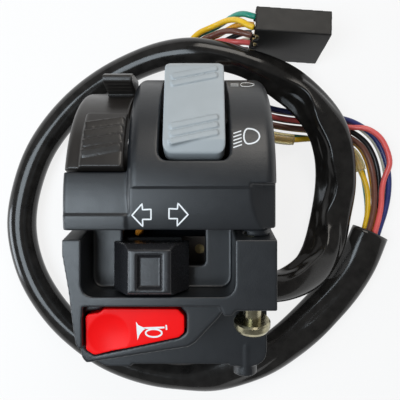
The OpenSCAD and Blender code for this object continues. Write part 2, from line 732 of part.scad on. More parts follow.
// Small screw, its head downwards
module small_screw() {
  cylinder(r = 0.85, h = 4.6);
  translate([0, 0, -1.2]) cylinder(r = 1.7, h = 1.2);
}

module board_screws() {
  color("#9a9da0") {
    rocker_frame() for (x = dimmer_screw_x) translate([x, dimmer_screw_y, -7.6]) mirror([0, 0, 1])
      small_screw();
    for (x = turn_screws) translate([x, turn_screw_y, 10.4]) small_screw();
    for (p = horn_screws) translate([p[0], p[1], 16.2]) mirror([0, 0, 1]) small_screw();
  }
}

// Harness

// Lead from the dimmer board over the gap to the turn board
module inner_lead() {
  r = saddle_r;
  line = smooth([[-6.8, r - 4.4, 12], [-7, 3, r + 3], [-7.1, -3, r + 6.2], [-8.8, -6.8, r + 7.2],
    [-10, 5 - r, r + 5.8], [-10.2, 4.8 - r, 16], [-10.2, 4.4 - r, 12]], 3);
  color("#c07a2c") tube(line, 0.9, 8);
}

module harness_grommet() {
  r = sleeve_d / 2;
  color("#1c1c1e") difference() {
    union() {
      xcyl(r + 0.95, x1 - wall - 0.4, x1 + 0.5, exit_y, exit_z);
      xcyl(r + 2.2, x1 - wall - 1.8, x1 - wall - 0.05, exit_y, exit_z);
      xcyl(r + 2.2, x1 + 0.05, x1 + 1.6, exit_y, exit_z);
    }
    xcyl(r + 0.35, x1 - 20, x1 + 20, exit_y, exit_z);
  }
}

module harness_sleeve() {
  color("#161618") tube(smooth(sleeve_pts, 2), sleeve_d / 2, 12);
}

// Wires: a round bunch at the sleeve's end, two layers on the floor, two rows at the connector
function ease(t) = let (u = max(0, min(1, t))) u * u * (3 - 2 * u);
function mix(a, b, t) = a * (1 - t) + b * t;
wire_line = smooth(wire_pts, 2);
wire_last = len(wire_line) - 1;
row_y = 7.3;
row_z = 2;
function column(i) = floor(i / 2) - 1.5;
function side(i) = i % 2 == 0 ? -1 : 1;
function rows(i) = [column(i) * row_y / 1.5, side(i) * row_z];
function turned(p, a) = [p[0] * cos(a) - p[1] * sin(a), p[0] * sin(a) + p[1] * cos(a)];
// Places in the round bunch
function bunch(i) = i == 4 ? [0, 0] : let (a = [206, 154, 257, 103, 51, 309, 0][i < 4 ? i : i - 1])
  wire_d * 1.27 * [cos(a), sin(a)];
// Place of a wire across the bundle at one point of the route; the lowest wire stays on the floor
function place(i, k) =
  let (s = ease(k / 6), t = (k - wire_last + 7) / 7, e = ease(t), a = plug_roll * e)
  let (wide = mix(wire_col * 1.5, row_y, e), high = mix(wire_layer / 2, row_z, ease(3 * t)), b = bunch(i))
  let (rest = plug_at[2] - wire_low - row_y * sin(plug_roll) - row_z * cos(plug_roll))
  let (lift = wide * sin(a) + high * cos(a) - wire_layer / 2 + rest * e)
  turned([mix(b[0], column(i) * wide / 1.5, s), mix(b[1], side(i) * high, s)], a) + [0, lift];
// The wire with the bullet sleeves stands off where they are, and one wire arches over the outer one
function bump(k, middle, half) = exp(-pow((k - middle) / half, 4));
function stand_off(i, k) = i == 7 ? max(bump(k, 7.5, 2.6), bump(k, 15.5, 2.6)) * [1.8, 0.8]
  : i == 3 ? bump(k, 7.4, 2.2) * [-3.2, 3.2] : [0, 0];
function wire_path(i) = [for (k = [0:wire_last])
  let (q = place(i, k) + stand_off(i, k))
  wire_line[k] + q[0] * across(wire_line, k) + q[1] * [0, 0, 1]];

module wire(i) {
  tube(wire_path(i), wire_d / 2, 8);
}

module wire_yellow() {
  color("#d8b21c") wire(7);
}

module wire_orange() {
  color("#d8741c") wire(4);
}

module wire_pink() {
  color("#d88a84") wire(3);
}

module wire_green() {
  color("#2e8a4a") wire(6);
}

module wire_black() {
  color("#1a1a1c") wire(2);
}

module wire_brown() {
  color("#6a3f2c") wire(5);
}

module wire_white() {
  color("#e4e0d4") wire(0);
}

module wire_blue() {
  color("#24407c") wire(1);
}

module bullet_sleeves() {
  line = wire_path(7);
  color("#d8cfae") for (k = [6, 14])
    open_tube([for (j = [k:k + 3]) line[j]], wire_d / 2 + 1.1, wire_d / 2 + 0.15, 10);
}

// Connector: X along its wires, drawn about the middle of its wire end
module plug_frame() {
  translate(plug_at) rotate([0, 0, plug_yaw]) rotate([plug_roll, 0, 0]) children();
}

module connector_housing() {
  color("#1d1d20") plug_frame() difference() {
    union() {
      box([0, -plug_w, -plug_h], [plug_l, plug_w, plug_h]);
      // Latch with its thumb pad, and guide ribs beside it
      box([plug_l - 13, -3, -plug_h - 1.4], [plug_l - 1.2, 3, -plug_h + 0.1]);
      box([plug_l - 5, -3, -plug_h - 2.4], [plug_l - 2.2, 3, -plug_h - 1.3]);
      for (y = [-6.6, 5.4]) box([plug_l - 16, y, -plug_h - 0.9], [plug_l - 0.6, y + 1.2, -plug_h + 0.1]);
    }
    // Mating socket, open wire end and the cavities of the terminals
    box([plug_l - 8.8, 1.4 - plug_w, 1.2 - plug_h], [plug_l + 1, plug_w - 1.4, plug_h - 1.2]);
    box([-1, 1 - plug_w, 0.9 - plug_h], [5, plug_w - 1, plug_h - 0.9]);
    for (i = [0:7]) translate([0, rows(i)[0], rows(i)[1]]) rotate([0, 90, 0]) cylinder(r = 1.15, h = plug_l);
    // Scallops of the wire end
    for (y = [-1, 0, 1]) translate([0, y * row_y * 2 / 3, -20]) cylinder(r = 2, h = 40);
  }
}

module connector_terminals() {
  color("#c8b27a") plug_frame() for (i = [0:7]) translate([1, rows(i)[0], rows(i)[1]]) rotate([0, 90, 0])
    cylinder(r = 0.95, h = plug_l - 5.6);
}

upper_housing();
lower_housing();
clamp_screws();
thread_inserts();
dimmer_rocker();
dimmer_pivot_pin();
dimmer_detent_spring();
dimmer_detent_ball();
dimmer_wiper();
dimmer_board();
dimmer_rivets();
choke_lever();
turn_knob();
turn_knob_spring();
turn_carriage();
turn_detent_spring();
turn_detent_ball();
turn_wiper();
turn_board();
turn_rivets();
horn_button();
horn_spring();
horn_wiper();
horn_board();
horn_rivets();
board_screws();
inner_lead();
harness_grommet();
harness_sleeve();
wire_yellow();
wire_orange();
wire_pink();
wire_green();
wire_black();
wire_brown();
wire_blue();
wire_white();
bullet_sleeves();
connector_housing();
connector_terminals();
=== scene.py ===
import math

import bmesh
import bpy
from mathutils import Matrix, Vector, noise
from mathutils.bvhtree import BVHTree


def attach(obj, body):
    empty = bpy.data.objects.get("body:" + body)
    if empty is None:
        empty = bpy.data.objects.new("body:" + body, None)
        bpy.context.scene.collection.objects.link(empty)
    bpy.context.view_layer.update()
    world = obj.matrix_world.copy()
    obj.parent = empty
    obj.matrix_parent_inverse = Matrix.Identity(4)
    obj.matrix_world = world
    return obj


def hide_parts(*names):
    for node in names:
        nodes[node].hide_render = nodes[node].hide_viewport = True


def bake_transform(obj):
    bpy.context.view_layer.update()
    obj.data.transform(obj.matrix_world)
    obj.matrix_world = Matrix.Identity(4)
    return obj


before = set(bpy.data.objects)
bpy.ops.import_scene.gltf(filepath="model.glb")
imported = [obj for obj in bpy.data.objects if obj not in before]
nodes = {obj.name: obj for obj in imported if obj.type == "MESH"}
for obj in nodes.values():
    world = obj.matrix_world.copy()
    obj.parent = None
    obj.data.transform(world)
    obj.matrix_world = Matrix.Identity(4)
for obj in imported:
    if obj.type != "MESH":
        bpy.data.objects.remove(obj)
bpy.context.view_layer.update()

# Lengths are in millimetres, and MM turns them into metres
MM = 0.001
FLOOR = -22.0

# Camera of the photograph, straight above the cluster
PHOTO_SIZE = 400
CAMERA_AT = Vector((7.6, 0.75, 141.0))
FOCAL_PX = 428.0
SENSOR_WIDTH = 36.0
CLIP_START = 5.0

# Driving sizes shared with the solids, and the room left between the floor and the sleeve or a wire
SLEEVE_D = 10.0
SLEEVE_LIFT = 0.1
WIRE_D = 2.0
WIRE_LIFT = 0.2


# Camera

def make_camera():
    data = bpy.data.cameras.new("photo_camera")
    data.sensor_width = SENSOR_WIDTH
    data.lens = FOCAL_PX * data.sensor_width / PHOTO_SIZE
    data.clip_start = CLIP_START * MM
    camera = bpy.data.objects.new("photo_camera", data)
    camera.location = CAMERA_AT * MM
    bpy.context.scene.collection.objects.link(camera)
    bpy.context.scene.camera = camera


make_camera()


# Materials

# Detail of each noise, and the part of the mottle's noise that its colours spread over
MOTTLE_DETAIL = 3.0
WEAR_DETAIL = 4.0
GRAIN_DETAIL = 2.0
MOTTLE_BAND = (0.3, 0.7)
# How far wear moves the roughness down and up
PLASTIC_WEAR = (-0.06, 0.06)
METAL_WEAR = (-0.08, 0.08)
VINYL_WEAR = (-0.05, 0.08)


def new_material(name):
    material = bpy.data.materials.new(name)
    material.use_nodes = True
    tree = material.node_tree
    return material, tree, tree.nodes["Principled BSDF"]


def noise_node(tree, scale_mm, detail):
    coordinates = tree.nodes.new("ShaderNodeTexCoord")
    texture = tree.nodes.new("ShaderNodeTexNoise")
    texture.inputs["Scale"].default_value = 1.0 / (scale_mm * MM)
    texture.inputs["Detail"].default_value = detail
    tree.links.new(coordinates.outputs["Object"], texture.inputs["Vector"])
    return texture


def add_mottle(tree, shader, colour, amount, scale_mm):
    texture = noise_node(tree, scale_mm, MOTTLE_DETAIL)
    ramp = tree.nodes.new("ShaderNodeValToRGB")
    dark, light = ramp.color_ramp.elements
    dark.position, light.position = MOTTLE_BAND
    dark.color = (*[c * (1 - amount) for c in colour], 1)
    light.color = (*[min(1, c * (1 + amount)) for c in colour], 1)
    tree.links.new(texture.outputs["Fac"], ramp.inputs["Fac"])
    tree.links.new(ramp.outputs["Color"], shader.inputs["Base Color"])


def add_wear(tree, shader, rough, wear, scale_mm):
    texture = noise_node(tree, scale_mm, WEAR_DETAIL)
    spread = tree.nodes.new("ShaderNodeMapRange")
    spread.inputs["To Min"].default_value = rough + wear[0]
    spread.inputs["To Max"].default_value = rough + wear[1]
    tree.links.new(texture.outputs["Fac"], spread.inputs["Value"])
    tree.links.new(spread.outputs["Result"], shader.inputs["Roughness"])


def add_grain(tree, shader, scale_mm, height_mm, strength):
    texture = noise_node(tree, scale_mm, GRAIN_DETAIL)
    bump_node = tree.nodes.new("ShaderNodeBump")
    bump_node.inputs["Strength"].default_value = strength
    bump_node.inputs["Distance"].default_value = height_mm * MM
    tree.links.new(texture.outputs["Fac"], bump_node.inputs["Height"])
    tree.links.new(bump_node.outputs["Normal"], shader.inputs["Normal"])


def plastic(name, colour, rough, grain=0.4, specular=0.5, mottle=0.06):
    material, tree, shader = new_material(name)
    add_mottle(tree, shader, colour, mottle, scale_mm=6.0)
    add_wear(tree, shader, rough, PLASTIC_WEAR, scale_mm=2.5)
    add_grain(tree, shader, scale_mm=0.3, height_mm=0.03, strength=grain)
    shader.inputs["Specular IOR Level"].default_value = specular
    return material


def metal(name, colour, rough, mottle=0.1):
    material, tree, shader = new_material(name)
    add_mottle(tree, shader, colour, mottle, scale_mm=1.5)
    add_wear(tree, shader, rough, METAL_WEAR, scale_mm=0.8)
    add_grain(tree, shader, scale_mm=0.3, height_mm=0.02, strength=0.25)
    shader.inputs["Metallic"].default_value = 1.0
    return material


def vinyl(name, colour, rough, mottle=0.08, grain=0.2):
    material, tree, shader = new_material(name)
    add_mottle(tree, shader, colour, mottle, scale_mm=4.0)
    add_wear(tree, shader, rough, VINYL_WEAR, scale_mm=3.0)
    add_grain(tree, shader, scale_mm=1.2, height_mm=0.05, strength=grain)
    return material


def shade_hollow_wall(material, attribute, sheen, shade_level):
    """Lowers the reflection from the sheen level to a lower one where the mesh attribute goes from 0 to 1:
    painted shade that darkens the wall the cluster's body shades.
    """
    tree = material.node_tree
    marks = tree.nodes.new("ShaderNodeAttribute")
    marks.attribute_name = attribute
    spread = tree.nodes.new("ShaderNodeMapRange")
    spread.inputs["To Min"].default_value = sheen
    spread.inputs["To Max"].default_value = shade_level
    tree.links.new(marks.outputs["Fac"], spread.inputs["Value"])
    shader = tree.nodes["Principled BSDF"]
    tree.links.new(spread.outputs["Result"], shader.inputs["Specular IOR Level"])


def clear_vinyl(name, colour):
    material, tree, shader = new_material(name)
    add_mottle(tree, shader, colour, amount=0.08, scale_mm=3.0)
    shader.inputs["Roughness"].default_value = 0.22
    shader.inputs["Transmission Weight"].default_value = 0.75
    shader.inputs["IOR"].default_value = 1.4
    return material


SHELL = plastic("shell_charcoal", (0.011, 0.0125, 0.015), rough=0.38, grain=0.8, specular=0.6)
LEVER = plastic("lever_black", (0.021, 0.018, 0.016), rough=0.33, grain=0.25)
KNOB = plastic("knob_black", (0.017, 0.017, 0.019), rough=0.27, grain=0.2)
ROCKER = plastic("rocker_grey", (0.39, 0.42, 0.435), rough=0.42, grain=0.25, mottle=0.03)
RED = plastic("horn_red", (0.95, 0.006, 0.007), rough=0.36, grain=0.2, specular=0.12, mottle=0.03)
PLUG = plastic("plug_black", (0.01, 0.0095, 0.009), rough=0.42, grain=0.3, specular=0.3)
NYLON = plastic("carriage_nylon", (0.01, 0.01, 0.01), rough=0.6, grain=0.2, specular=0.2)
BOARD = plastic("phenolic_board", (0.05, 0.03, 0.018), rough=0.5, grain=0.4, mottle=0.2)
RUBBER = plastic("grommet_rubber", (0.02, 0.02, 0.02), rough=0.6, grain=0.5)
PRINT = plastic("white_print", (0.86, 0.87, 0.88), rough=0.5, grain=0.1, mottle=0.02)
ZINC = metal("yellow_zinc", (0.4, 0.37, 0.25), rough=0.27, mottle=0.2)
OXIDE = metal("black_oxide", (0.03, 0.03, 0.032), rough=0.45)
STEEL = metal("bright_steel", (0.55, 0.56, 0.58), rough=0.3)
BRASS = metal("bright_brass", (0.72, 0.55, 0.25), rough=0.3)
AGED = metal("aged_brass", (0.2, 0.15, 0.07), rough=0.4)
AMBER = vinyl("lead_amber", (0.6, 0.22, 0.02), rough=0.35)
CLEAR = clear_vinyl("clear_vinyl", (0.86, 0.76, 0.42))
SLEEVE = vinyl("sleeve_vinyl", (0.015, 0.0137, 0.0127), rough=0.13, mottle=0.4, grain=0.1)
# The sleeve's hollow wall is marked by this mesh attribute, and its reflection is lowered there: painted
# shade for the shade that the cluster's body casts on it
HOLLOW = "hollow_wall"
shade_hollow_wall(SLEEVE, HOLLOW, sheen=0.4, shade_level=0.16)
WIRE_ROUGH = 0.3
WIRE_COLOURS = {
    "wire_yellow": (0.83, 0.5, 0.015),
    "wire_orange": (0.75, 0.33, 0.01),
    "wire_pink": (0.85, 0.13, 0.12),
    "wire_green": (0.01, 0.24, 0.17),
    "wire_black": (0.012, 0.012, 0.013),
    "wire_brown": (0.16, 0.06, 0.04),
    "wire_blue": (0.025, 0.035, 0.16),
    "wire_white": (0.66, 0.6, 0.47),
}


def paint(obj, material):
    obj.data.materials.clear()
    obj.data.materials.append(material)


# Numbers and meshes

def ease(t):
    """0 up to 0, 1 from 1 on, and smooth between them."""
    u = max(0.0, min(1.0, t))
    return u * u * (3 - 2 * u)


def mix(a, b, t):
    return a * (1 - t) + b * t


def add_object(name, mesh):
    obj = bpy.data.objects.new(name, mesh)
    bpy.context.scene.collection.objects.link(obj)
    return obj


def add_mesh(name, points, faces, material, body):
    mesh = bpy.data.meshes.new(name)
    mesh.from_pydata([p * MM for p in points], [], faces)
    mesh.validate()
    mesh.update()
    mesh.shade_smooth()
    obj = add_object(name, mesh)
    paint(obj, material)
    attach(obj, body)
    return obj


def joined(parts):
    """Points and faces of several parts, as one list of each."""
    points = []
    faces = []
    for part_points, part_faces in parts:
        shift = len(points)
        points += part_points
        faces += [tuple(v + shift for v in f) for f in part_faces]
    return points, faces


def at(points, i):
    """The point i of a route, continued straight past its ends."""
    if i < 0:
        return 2 * points[0] - points[1]
    if i >= len(points):
        return 2 * points[-1] - points[-2]
    return points[i]


def smooth(points, steps):
    """A smooth line (Catmull-Rom) through the points of a route."""
    line = []
    for i in range(len(points) - 1):
        a, b, c, d = at(points, i - 1), points[i], points[i + 1], at(points, i + 2)
        for j in range(steps):
            t = j / steps
            line.append(0.5 * (2 * b + (c - a) * t + (2 * a - 5 * b + 4 * c - d) * t ** 2
                               + (3 * b - a - 3 * c + d) * t ** 3))
    line.append(points[-1])
    return line


def along(line, i):
    return (line[min(i + 1, len(line) - 1)] - line[max(i - 1, 0)]).normalized()


def across(line, i):
    return Vector((0, 0, 1)).cross(along(line, i)).normalized()


def tube_faces(rings, sides, caps=True):
    """Faces between a count of rings that have the same count of sides."""
    faces = []
    for i in range(rings - 1):
        for j in range(sides):
            a = i * sides + j
            b = i * sides + (j + 1) % sides
            faces.append((a, b, b + sides, a + sides))
    if caps:
        faces.append(tuple(reversed(range(sides))))
        faces.append(tuple(range((rings - 1) * sides, rings * sides)))
    return faces


def tube(rings, caps=True):
    """Points and faces of a tube through rings of equal count."""
    points = [p for one in rings for p in one]
    return points, tube_faces(len(rings), len(rings[0]), caps)


def turns_of(sides):
    return [2 * math.pi * j / sides for j in range(sides)]


def ring(line, i, radius, sides):
    side = across(line, i)
    up = along(line, i).cross(side)
    return [line[i] + radius * (math.cos(t) * side + math.sin(t) * up) for t in turns_of(sides)]


def round_tube(line, radius, sides):
    return tube([ring(line, i, radius, sides) for i in range(len(line))])


# Harness sleeve, along the same route as its solid

LOW = FLOOR + SLEEVE_D / 2 + SLEEVE_LIFT
SLEEVE_ROUTE = [Vector(p) for p in (
    (21, -28, 1), (28, -28, 1), (36.5, -27.1, -1.3), (46, -23, -7.2), (52.5, -14.8, -13.4),
    (55.8, -4, LOW + 0.5), (56.8, 7, LOW + 2.2), (55.6, 18, LOW + 4.3), (52.2, 27.5, LOW + 4.9),
    (45.8, 36.2, LOW + 4.4), (37.2, 43.4, LOW + 3.8), (26.6, 48.8, LOW + 4.6), (14, 52.4, LOW + 4.9),
    (2, 53.6, LOW + 4.5), (-11, 51.6, LOW + 2), (-26, 45, LOW + 0.3), (-39, 35, LOW), (-50, 21, LOW),
    (-56, 6, LOW), (-58, -9, LOW), (-55, -24, LOW), (-48, -37, LOW), (-38, -48, LOW), (-25, -57, LOW),
    (-9, -62.5, LOW), (9, -63.6, LOW), (26, -59.4, LOW), (40.6, -50.6, LOW), (53.6, -38, LOW),
    (64.2, -24.6, LOW), (70.4, -11.2, LOW))]
SLEEVE_STEPS = 10
# Stretches pressed flat: from and to along the sleeve, half width, half height
FLATS = ((10, 124, 7.2, 4.5), (325, 480, 7.0, 4.7))
FLAT_ENDS = 22.0
# Slow roll of the flat stretches from side to side, in radians, and its length along the sleeve
ROLL = 0.22
ROLL_LENGTH = 13.0
# Crease along the first flat stretch: places along the sleeve, and its angle up from the inner side there
CREASE = (
    (8, 70), (24, 58), (38, 84), (50, 70), (62, 90), (74, 74), (86, 62), (98, 92), (108, 78),
    (122, 66), (140, 80))
CREASE_SOFT = 14.0
# Angle of the inner edge, from where the wall runs straight up to the crease, and how far it sinks there
INNER_EDGE = -14.0
SINK = 0.12
SINK_LENGTH = 7.0
SINK_ACROSS = 3.0
# Unevenness of the whole surface: its length along the sleeve and around it, and its share of the radius
UNEVEN_LENGTH = 16.0
UNEVEN_AROUND = 1.2
UNEVEN_ROUND = 0.02
UNEVEN_FLAT = 0.05
# Dents of the flat stretches: from and to along the sleeve, angle at both ends, depth
DENTS = (
    (30, 62, 150, 104, 0.1), (58, 84, 128, 108, 0.12), (84, 112, 150, 112, 0.12),
    (340, 380, 120, 90, 0.12), (366, 408, 66, 100, 0.14))
DENT_WIDTH = 11.0
# Sides of the tube: all, those between the inner edge and the crease, and those just under the inner edge
SIDES = 60
INNER_SIDES = 16
UNDER_SIDES = 8
# Open end: the inside of the wall as a share of the outside, and the rings from the end where it is
INSIDE = 0.9
INSIDE_RINGS = (0, 18)
# The surface stays this far above the floor
SLEEVE_CLEAR = 0.05


def bump_between(s, start, end, soft):
    """1 between two places on the sleeve, with soft ends."""
    return ease((s - start) / soft) * ease((end - s) / soft)


def crease_angle(travelled):
    for (start, first), (end, last) in zip(CREASE, CREASE[1:]):
        if travelled <= end:
            return mix(first, last, ease((travelled - start) / (end - start)))
    return CREASE[-1][1]


def creased(travelled):
    """1 where the sleeve is creased."""
    return bump_between(travelled, CREASE[0][0], CREASE[-1][0], CREASE_SOFT)


def dent_depth(travelled, degrees):
    """How far the dents draw the surface in, as a share of its radius."""
    depth = 0.0
    for start, end, first, last, deep in DENTS:
        share = (travelled - start) / (end - start)
        if 0 < share < 1:
            off = (degrees - mix(first, last, share)) / DENT_WIDTH
            depth += deep * math.sin(math.pi * share) * math.exp(-off * off)
    return depth


def ring_angles(travelled):
    """Angles of the ring's points, one of them on the crease."""
    crease = crease_angle(travelled)
    inner = [mix(INNER_EDGE, crease, j / INNER_SIDES) for j in range(INNER_SIDES)]
    rest = SIDES - INNER_SIDES
    return inner + [mix(crease, INNER_EDGE + 360, j / rest) for j in range(rest)]


def flattened(travelled):
    """How flat the sleeve is at a place, with its half width and half height there."""
    flat = 0.0
    wide = high = SLEEVE_D / 2
    for start, end, half_width, half_height in FLATS:
        share = bump_between(travelled, start, end, FLAT_ENDS)
        flat += share
        wide = mix(wide, half_width, share)
        high = mix(high, half_height, share)
    return flat, wide, high


def pull_straight(outline, travelled):
    """Between the inner edge and the crease the wall is pulled straight and a little hollow."""
    pulled = creased(travelled)
    edge = outline[0]
    crease = outline[INNER_SIDES]
    for j in range(1, INNER_SIDES):
        share = j / INNER_SIDES
        spot = Vector((travelled / SINK_LENGTH, SINK_ACROSS * share, 0))
        hollow = SINK * math.sin(math.pi * share) * (1 + noise.noise(spot))
        straight = mix(edge, crease, share) * (1 - hollow)
        outline[j] = mix(outline[j], straight, pulled)


def sleeve_ring(line, i, travelled):
    flat, wide, high = flattened(travelled)
    outline = []
    for degrees in ring_angles(travelled):
        t = math.radians(degrees)
        spot = Vector((travelled / UNEVEN_LENGTH, UNEVEN_AROUND * math.cos(t), UNEVEN_AROUND * math.sin(t)))
        swell = 1 + mix(UNEVEN_ROUND, UNEVEN_FLAT, flat) * noise.noise(spot)
        r = swell - dent_depth(travelled, degrees)
        outline.append(Vector((r * wide * math.cos(t), r * high * math.sin(t))))
    pull_straight(outline, travelled)
    roll = ROLL * flat * math.sin(travelled / ROLL_LENGTH)
    side = across(line, i)
    up = along(line, i).cross(side)
    lowest = FLOOR + SLEEVE_CLEAR - line[i].z
    points = []
    for p in outline:
        a = p.x * math.cos(roll) - p.y * math.sin(roll)
        b = p.x * math.sin(roll) + p.y * math.cos(roll)
        points.append(line[i] + a * side + max(b, lowest) * up)
    return points


def hollow_marks(travelled):
    """1 on the ring's points from below the inner edge up to the crease, 0 on the others; the painted shade
    goes on the points marked 1.
    """
    pulled = creased(travelled)
    return [pulled if j < INNER_SIDES or j > SIDES - UNDER_SIDES else 0.0 for j in range(SIDES)]


def make_sleeve():
    line = smooth(SLEEVE_ROUTE, SLEEVE_STEPS)
    travelled = 0.0
    rings = []
    marks = []
    for i, p in enumerate(line):
        if i:
            travelled += (p - line[i - 1]).length
        rings.append(sleeve_ring(line, i, travelled))
        marks += hollow_marks(travelled)
    # Open end: the tube turns back inside itself
    last = len(line) - 1
    for back in INSIDE_RINGS:
        middle = line[last - back]
        rings.append([middle + INSIDE * (p - middle) for p in rings[last - back]])
    points, faces = tube(rings)
    sleeve = add_mesh("sleeve", points, faces, SLEEVE, "housing")
    marks += [0.0] * (len(points) - len(marks))
    sleeve.data.attributes.new(HOLLOW, "FLOAT", "POINT").data.foreach_set("value", marks)
    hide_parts("harness_sleeve")


make_sleeve()


# Moulded pieces: copies of the solids with softened edges

# How far each pass of the softening moves a point towards its neighbours
RELAX = 0.5


def add_solid(mesh, points, faces):
    """Adds a closed solid to a copied mesh, before it is remeshed."""
    form = bmesh.new()
    form.from_mesh(mesh)
    corners = [form.verts.new(p * MM) for p in points]
    for face in faces:
        form.faces.new([corners[i] for i in face])
    form.to_mesh(mesh)
    form.free()


def softened(node, body, material, voxel_mm, passes, backing=None):
    mesh = nodes[node].data.copy()
    if backing:
        add_solid(mesh, *backing)
    piece = add_object(node + "_moulded", mesh)
    remesh = piece.modifiers.new("remesh", "REMESH")
    remesh.mode = "VOXEL"
    remesh.voxel_size = voxel_mm * MM
    relax = piece.modifiers.new("relax", "SMOOTH")
    relax.factor = RELAX
    relax.iterations = passes
    bpy.context.view_layer.update()
    graph = bpy.context.evaluated_depsgraph_get()
    result = bpy.data.meshes.new_from_object(piece.evaluated_get(graph))
    piece.modifiers.clear()
    piece.data = result
    result.shade_smooth()
    paint(piece, material)
    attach(piece, body)
    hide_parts(node)
    return piece


# The plug comes before the wires that end in it
plug = softened("connector_housing", "housing", PLUG, voxel_mm=0.25, passes=3)


# Wires: a round bunch at the sleeve's end, two layers on the floor, two rows at the plug

WIRE_LOW = FLOOR + WIRE_D / 2 + WIRE_LIFT
LAYER = WIRE_D * 1.1
COLUMN = WIRE_D * 1.45
HALF_COLUMNS = 1.5
MID = WIRE_LOW + LAYER / 2
ROW_Y = 7.3
ROW_Z = 2.0
PLUG_Z = FLOOR + 10.65
PLUG_ROLL = math.radians(80)
WIRE_ROUTE = [Vector(p) for p in (
    (70.6, -10.7, LOW), (72.6, -4, LOW - 0.8), (73.6, 4, MID + 1), (73, 13, MID), (69.5, 21, MID),
    (62.5, 26, MID), (53, 28, MID), (43, 29, MID), (34, 30.5, MID), (25, 33.5, MID), (17.4, 37.2, MID),
    (11.4, 41.6, MID), (7.6, 46.2, MID), (5.9, 51, MID), (6.6, 55.8, MID), (9.8, 59.5, MID), (14.2, 61, MID),
    (18.2, 61, MID), (22.1, 60.5, MID), (26, 59.8, MID))]
WIRE_ROUTE_STEPS = 2
WIRE_LINE = smooth(WIRE_ROUTE, WIRE_ROUTE_STEPS)
WIRE_LAST = len(WIRE_LINE) - 1
WIRE_ORDER = (
    "wire_white", "wire_blue", "wire_black", "wire_pink", "wire_orange", "wire_brown", "wire_green",
    "wire_yellow")
# Bunch at the sleeve's end: its radius, and each wire's angle in it, with one wire in the middle
BUNCH_R = WIRE_D * 1.27
BUNCH = (206, 154, 257, 103, None, 51, 309, 0)
# Points of the line over which the bunch opens, and the layers become rows, which part sooner than they turn
OPEN_POINTS = 6
PLUG_POINTS = 7
PART_SOONER = 3
# Each strand: how far it starts inside the sleeve, its steps and its sides
WIRE_INSIDE = 1.6
WIRE_STEPS = 4
WIRE_SIDES = 14
# One wire arches over the outer one: which, where on the line, half length, and how far to the side and up
ARCH_WIRE = 3
ARCH_AT = 7.4
ARCH_HALF = 2.2
ARCH_OFF = Vector((-3.2, 3.2))
# Bullet sleeves: their wire, the points of the line that each covers, and how far the wire stands off there
BULLET_WIRE = 7
BULLET_STARTS = (6, 14)
BULLET_POINTS = 4
BULLET_HALF = 2.6
BULLET_OFF = Vector((1.8, 0.8))
# Bullet sleeves over the wire's radius: outside, outside at the ends, and inside
BULLET_OUT = 1.1
BULLET_END = 0.95
BULLET_IN = 0.15
BULLET_STEPS = 6
BULLET_SIDES = 24


def bunch(i):
    if BUNCH[i] is None:
        return Vector((0, 0))
    a = math.radians(BUNCH[i])
    return BUNCH_R * Vector((math.cos(a), math.sin(a)))


def place(i, k):
    """Where wire i lies across the bundle at point k of the line."""
    opened = ease(k / OPEN_POINTS)
    t = (k - WIRE_LAST + PLUG_POINTS) / PLUG_POINTS
    turned = ease(t)
    a = PLUG_ROLL * turned
    wide = mix(COLUMN * HALF_COLUMNS, ROW_Y, turned)
    high = mix(LAYER / 2, ROW_Z, ease(PART_SOONER * t))
    rise = PLUG_Z - WIRE_LOW - ROW_Y * math.sin(PLUG_ROLL) - ROW_Z * math.cos(PLUG_ROLL)
    lift = wide * math.sin(a) + high * math.cos(a) - LAYER / 2 + rise * turned
    layer = -1 if i % 2 == 0 else 1
    y = mix(bunch(i)[0], (i // 2 - HALF_COLUMNS) * wide / HALF_COLUMNS, opened)
    z = mix(bunch(i)[1], layer * high, opened)
    return Vector((y * math.cos(a) - z * math.sin(a), y * math.sin(a) + z * math.cos(a) + lift))


def bump(k, middle, half):
    """1 around the middle, with a flat top, and 0 far from it."""
    return math.exp(-((k - middle) / half) ** 4)


def stand_off(i, k):
    """How far wire i leaves its place at point k, for its bullet sleeves or its arch."""
    if i == BULLET_WIRE:
        middles = [start + (BULLET_POINTS - 1) / 2 for start in BULLET_STARTS]
        return max(bump(k, middle, BULLET_HALF) for middle in middles) * BULLET_OFF
    if i == ARCH_WIRE:
        return bump(k, ARCH_AT, ARCH_HALF) * ARCH_OFF
    return Vector((0, 0))


def wire_path(i):
    path = []
    for k in range(WIRE_LAST + 1):
        q = place(i, k) + stand_off(i, k)
        path.append(WIRE_LINE[k] + q[0] * across(WIRE_LINE, k) + Vector((0, 0, q[1])))
    return path


def bullet_sleeve(line):
    """A sleeve on the wire, with narrower ends: its outside, and back along its inside."""
    last = len(line) - 1
    outer = [(i, BULLET_OUT if 1 < i < last - 1 else BULLET_END) for i in range(last + 1)]
    inner = [(i, BULLET_IN) for i in range(last, -1, -1)]
    loop = [ring(line, i, WIRE_D / 2 + over, BULLET_SIDES) for i, over in outer + inner]
    loop.append(loop[0])
    return tube(loop, caps=False)


def make_bullets():
    path = wire_path(BULLET_WIRE)
    stretches = [path[start:start + BULLET_POINTS] for start in BULLET_STARTS]
    points, faces = joined([bullet_sleeve(smooth(stretch, BULLET_STEPS)) for stretch in stretches])
    sleeves = add_mesh("bullet_covers", points, faces, CLEAR, "housing")
    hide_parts("bullet_sleeves")
    return sleeves


bullets = make_bullets()


def make_wires():
    for i, name in enumerate(WIRE_ORDER):
        path = wire_path(i)
        path.insert(0, path[0] - WIRE_INSIDE * along(path, 0))
        line = smooth(path, WIRE_STEPS)
        points, faces = round_tube(line, WIRE_D / 2, WIRE_SIDES)
        material = vinyl(name, WIRE_COLOURS[name], WIRE_ROUGH)
        strand = add_mesh(name + "_strand", points, faces, material, "housing")
        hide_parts(name)


make_wires()


# Shells and controls

# Finger dish of the knob: middle, half width, ends, rim, depth, width of its walls, and room below its floor
DISH_X = -4.9
DISH_HALF = 3.3
DISH_Y = (-21.5, -12.6)
DISH_RIM = 35.9
DISH_DEPTH = 1.25
DISH_WALL = 0.95
DISH_BELOW = 0.5
